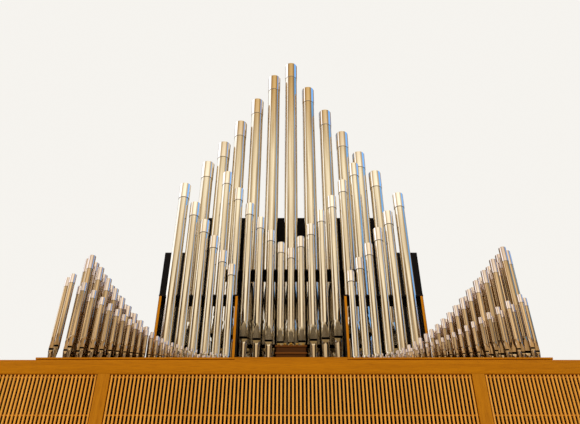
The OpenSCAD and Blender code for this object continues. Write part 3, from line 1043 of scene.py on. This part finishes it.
@dataclass
class Studio:
    """Floor, world, lamps and camera round the organ."""

    eye: tuple = (0.0, -6.025, 1.55)
    pitch: float = 37.0
    focal_px: float = 630.0
    image_width: float = 580.0
    principal_shift: float = -1.0 / 580.0
    far_clip: float = 200.0
    floor_radius: float = 40.0
    floor_segments: int = 96
    background: Colour = (0.92, 0.90, 0.86)
    fill: float = 0.72
    fill_colour: Colour = (1.0, 0.98, 0.95)
    mirrored: MirroredLight = MirroredLight()
    mirrored_strength: float = 1.25
    lamps: tuple = (SoftLamp("front_lamp", (-3.0, -11.0, 8.0), (6.0, 5.0), 2.8),
                    SoftLamp("side_lamp", (9.0, -6.0, 7.0), (4.0, 5.0), 1.2))

    def build(self) -> None:
        """Makes the whole studio."""
        self._camera()
        self._floor()
        self._world()
        for lamp in self.lamps:
            lamp.build()

    def _camera(self) -> None:
        """Makes the camera at the photograph's viewing angle."""
        data = bpy.data.cameras.new("camera")
        data.sensor_fit = "HORIZONTAL"
        data.lens = data.sensor_width * self.focal_px / self.image_width
        data.shift_x = self.principal_shift
        data.clip_end = self.far_clip
        camera = bpy.data.objects.new("camera", data)
        camera.location = self.eye
        camera.rotation_euler = (math.radians(90 + self.pitch), 0.0, 0.0)
        bpy.context.scene.collection.objects.link(camera)
        bpy.context.scene.camera = camera

    def _floor(self) -> None:
        """Makes the pale floor."""
        bm = bmesh.new()
        bmesh.ops.create_circle(bm, cap_ends=True, segments=self.floor_segments,
                                radius=self.floor_radius)
        mesh = bpy.data.meshes.new("floor")
        bm.to_mesh(mesh)
        bm.free()
        made = bpy.data.materials.new("floor")
        graph = Graph(made)
        cloud = graph.noise(graph.scaled((1.0, 1.0, 1.0)), 0.6, 3.0)
        tone = graph.ramp(cloud, [(0.3, (0.70, 0.69, 0.66)), (0.7, (0.76, 0.75, 0.72))])
        graph.surface({"Base Color": tone, "Roughness": 0.8})
        mesh.materials.append(made)
        floor = bpy.data.objects.new("floor", mesh)
        bpy.context.scene.collection.objects.link(floor)

    def _world(self) -> None:
        """Makes a pale background, plain light for matt surfaces and a surround for the metal."""
        world = bpy.data.worlds.new("studio")
        bpy.context.scene.world = world
        graph = Graph(world)
        mirrored = self._emitted(graph, self.mirrored.colour(graph), self.mirrored_strength)
        plain = self._emitted(graph, (*self.fill_colour, 1.0), self.fill)
        behind = self._emitted(graph, (*self.background, 1.0), 1.0)
        glossy = graph.add("ShaderNodeLightPath", output="Is Glossy Ray")
        seen = graph.add("ShaderNodeLightPath", output="Is Camera Ray")
        lit = graph.add("ShaderNodeMixShader", {}, {0: glossy, 1: plain, 2: mirrored})
        shown = graph.add("ShaderNodeMixShader", {}, {0: seen, 1: lit, 2: behind})
        graph.add("ShaderNodeOutputWorld", {}, {"Surface": shown})

    @staticmethod
    def _emitted(graph: Graph, colour: Signal | tuple, strength: float) -> Signal:
        """Light of one colour and strength from all round.

        Args:
            graph: Graph of the world.
            colour: Colour with alpha, or a signal.
            strength: Brightness.

        Returns:
            The shader.
        """
        return graph.add("ShaderNodeBackground", {}, {"Color": colour, "Strength": strength})


class Organ:
    """The whole organ: its finishes and its sub-assemblies."""

    def __init__(self) -> None:
        """Makes every finish once."""
        self.rail_oak = OakFinish("oak_along_rail", Grain.ALONG_X, (0.60, 0.205, 0.002),
                                  (0.47, 0.15, 0.001)).material()
        self.post_oak = OakFinish("oak_upright", Grain.ALONG_Z, (0.62, 0.225, 0.006),
                                  (0.48, 0.16, 0.003)).material()
        self.wall_oak = OakFinish("oak_wall_boards", Grain.ALONG_Z, (0.62, 0.225, 0.006),
                                  (0.46, 0.155, 0.003), board=0.145, joint=0.025, spread=0.18).material()
        self.slat_oak = OakFinish("oak_slats", Grain.ALONG_Z, (1.0, 0.46, 0.07),
                                  (0.96, 0.40, 0.045), board=0.03205, spread=0.12).material()
        self.panel_oak = OakFinish("oak_panels", Grain.ALONG_Z, (0.72, 0.26, 0.006),
                                   (0.56, 0.18, 0.003)).material()
        self.chest_wood = OakFinish("chest_wood", Grain.ALONG_X, (0.20, 0.11, 0.045),
                                    (0.11, 0.055, 0.022), 0.55).material()
        self.bell_wood = OakFinish("bell_box_wood", Grain.ALONG_X, (0.14, 0.046, 0.008),
                                   (0.06, 0.020, 0.004), 0.5).material()
        self.ledge_wood = OakFinish("bell_box_ledges", Grain.ALONG_X, (0.27, 0.085, 0.012),
                                    (0.18, 0.055, 0.008), 0.5).material()
        self.black = PaintFinish("black_paint", (0.006, 0.005, 0.005)).material()
        self.box_black = PaintFinish("black_box_paint", (0.005, 0.004, 0.004)).material()
        # Near-black painted shade for the pipes' mouths and bores.
        self.inside = PaintFinish("painted_shade_inside", (0.004, 0.0035, 0.003), 0.9).material()
        self.tin = PipeMetalFinish("polished_tin").material()
        self.sleeve_tin = PipeMetalFinish("sleeve_tin", (0.98, 0.93, 0.86), (0.90, 0.83, 0.74),
                                          0.06, 0.0006).material()
        # A darker, browner copy of the polished tin: painted shade on the flank pipes, its streaks
        # painted reflections.
        self.chorus_tin_painted_shade = PipeMetalFinish("chorus_tin_painted_shade", (0.72, 0.53, 0.33), (0.31, 0.22, 0.12),
                                          0.12, 0.0006).material()
        self.chorus_sleeve = PipeMetalFinish("chorus_sleeve", (0.86, 0.75, 0.70), (0.66, 0.56, 0.51),
                                             0.08, 0.0004).material()
        # Dark painted shadow for the band just under the sleeves.
        self.painted_sleeve_shadow = PipeMetalFinish("painted_sleeve_shadow", (0.20, 0.15, 0.09), (0.12, 0.09, 0.05),
                                        0.35, 0.0002).material()
        self.brass = BrassFinish("bell_brass").material()

    def build(self) -> None:
        """Builds the sub-assemblies from the ground up."""
        self._case()
        self._grille()
        self._works()
        self._pipes()

    @staticmethod
    def _boards(nodes: list[str], material: bpy.types.Material, slot: str, ease: float,
                sides: bpy.types.Material | None = None) -> None:
        """Finishes several boards alike.

        Args:
            nodes: CAD nodes of the boards.
            material: Finish of the boards.
            slot: Not used.
            ease: Width of their eased edges in metres.
            sides: Finish of their left and right faces, if another.
        """
        for node in nodes:
            Board(node, material, slot, ease, sides).build()

    def _case(self) -> None:
        """Plinth, walls, posts and rail of the lower case."""
        self._boards(["base_plinth", "impost_rail", "flank_toe_board_left", "flank_toe_board_right",
                      "middle_front_board"], self.rail_oak, "oak", 0.002)
        self._boards(["post_outer_left", "post_inner_left", "post_inner_right",
                      "post_outer_right"], self.post_oak, "oak", 0.002)
        self._boards(["side_wall_left", "side_wall_right", "back_wall"], self.wall_oak, "oak", 0.002)
        # The panels' left and right faces are black; their other faces are oak.
        self._boards(["panel_outer_left", "panel_inner_left", "panel_inner_right",
                      "panel_outer_right"], self.panel_oak, "oak", 0.002, self.black)

    def _grille(self) -> None:
        """Slats, battens and black lining of the front."""
        for node in ["slats_left", "slats_centre", "slats_right"]:
            SlatGrille(node, self.slat_oak).build()
        self._boards(["grille_battens"], self.slat_oak, "oak", 0.001)
        self._boards(["grille_lining"], self.black, "black_paint", 0.001)

    def _works(self) -> None:
        """Deck, chests, racks, boxes and bells."""
        self._boards(["deck", "flank_chest_left", "flank_chest_right", "tower_chest_left",
                      "tower_chest_right", "main_chest"], self.chest_wood, "inner_wood", 0.002)
        # The bell box's foremost faces take a lighter wood than the rest of it.
        Board("bell_box", self.bell_wood, "inner_wood", 0.001, self.ledge_wood, Faces.FRONT).build()
        self._boards(["tower_rack_left", "tower_rack_right", "middle_rack", "rack_post_left",
                      "rack_post_right"], self.black, "black_paint", 0.002)
        self._boards(["swell_box_centre", "swell_box_left", "swell_box_right"], self.box_black,
                     "black_paint", 0.004)
        BellRow("bells", self.brass).build()

    def _pipes(self) -> None:
        """All ranks of flue pipes."""
        # The third metal paints shade in the mouth and bore, the fourth a shadow under the sleeve.
        metals = [self.tin, self.sleeve_tin, self.inside, self.painted_sleeve_shadow]
        small_metals = [self.chorus_tin_painted_shade, self.chorus_sleeve, self.inside, self.painted_sleeve_shadow]
        display = Voicing()
        chorus = Voicing(columns=16, lip_columns=2, lip_rows=3, mouth_width=0.74, cut_up=0.36,
                         upper_lip=1.9, lower_lip=0.45, bore_depth=1.2, rim=0.0006, seam=0.003)
        for node in ["rear_pipes", "middle_pipes", "tower_pipes_left", "tower_pipes_right"]:
            PipeRank(node, display, metals).build()
        for side in ["left", "right"]:
            for row in ["front", "rear", "back"]:
                PipeRank(f"flank_{row}_pipes_{side}", chorus, small_metals).build()


def main() -> None:
    """Builds the organ and its studio."""
    logging.basicConfig(level=logging.INFO, format="%(message)s")
    bpy.context.scene.view_settings.view_transform = "Standard"
    Studio().build()
    Organ().build()


if __name__ == "__main__":
    main()
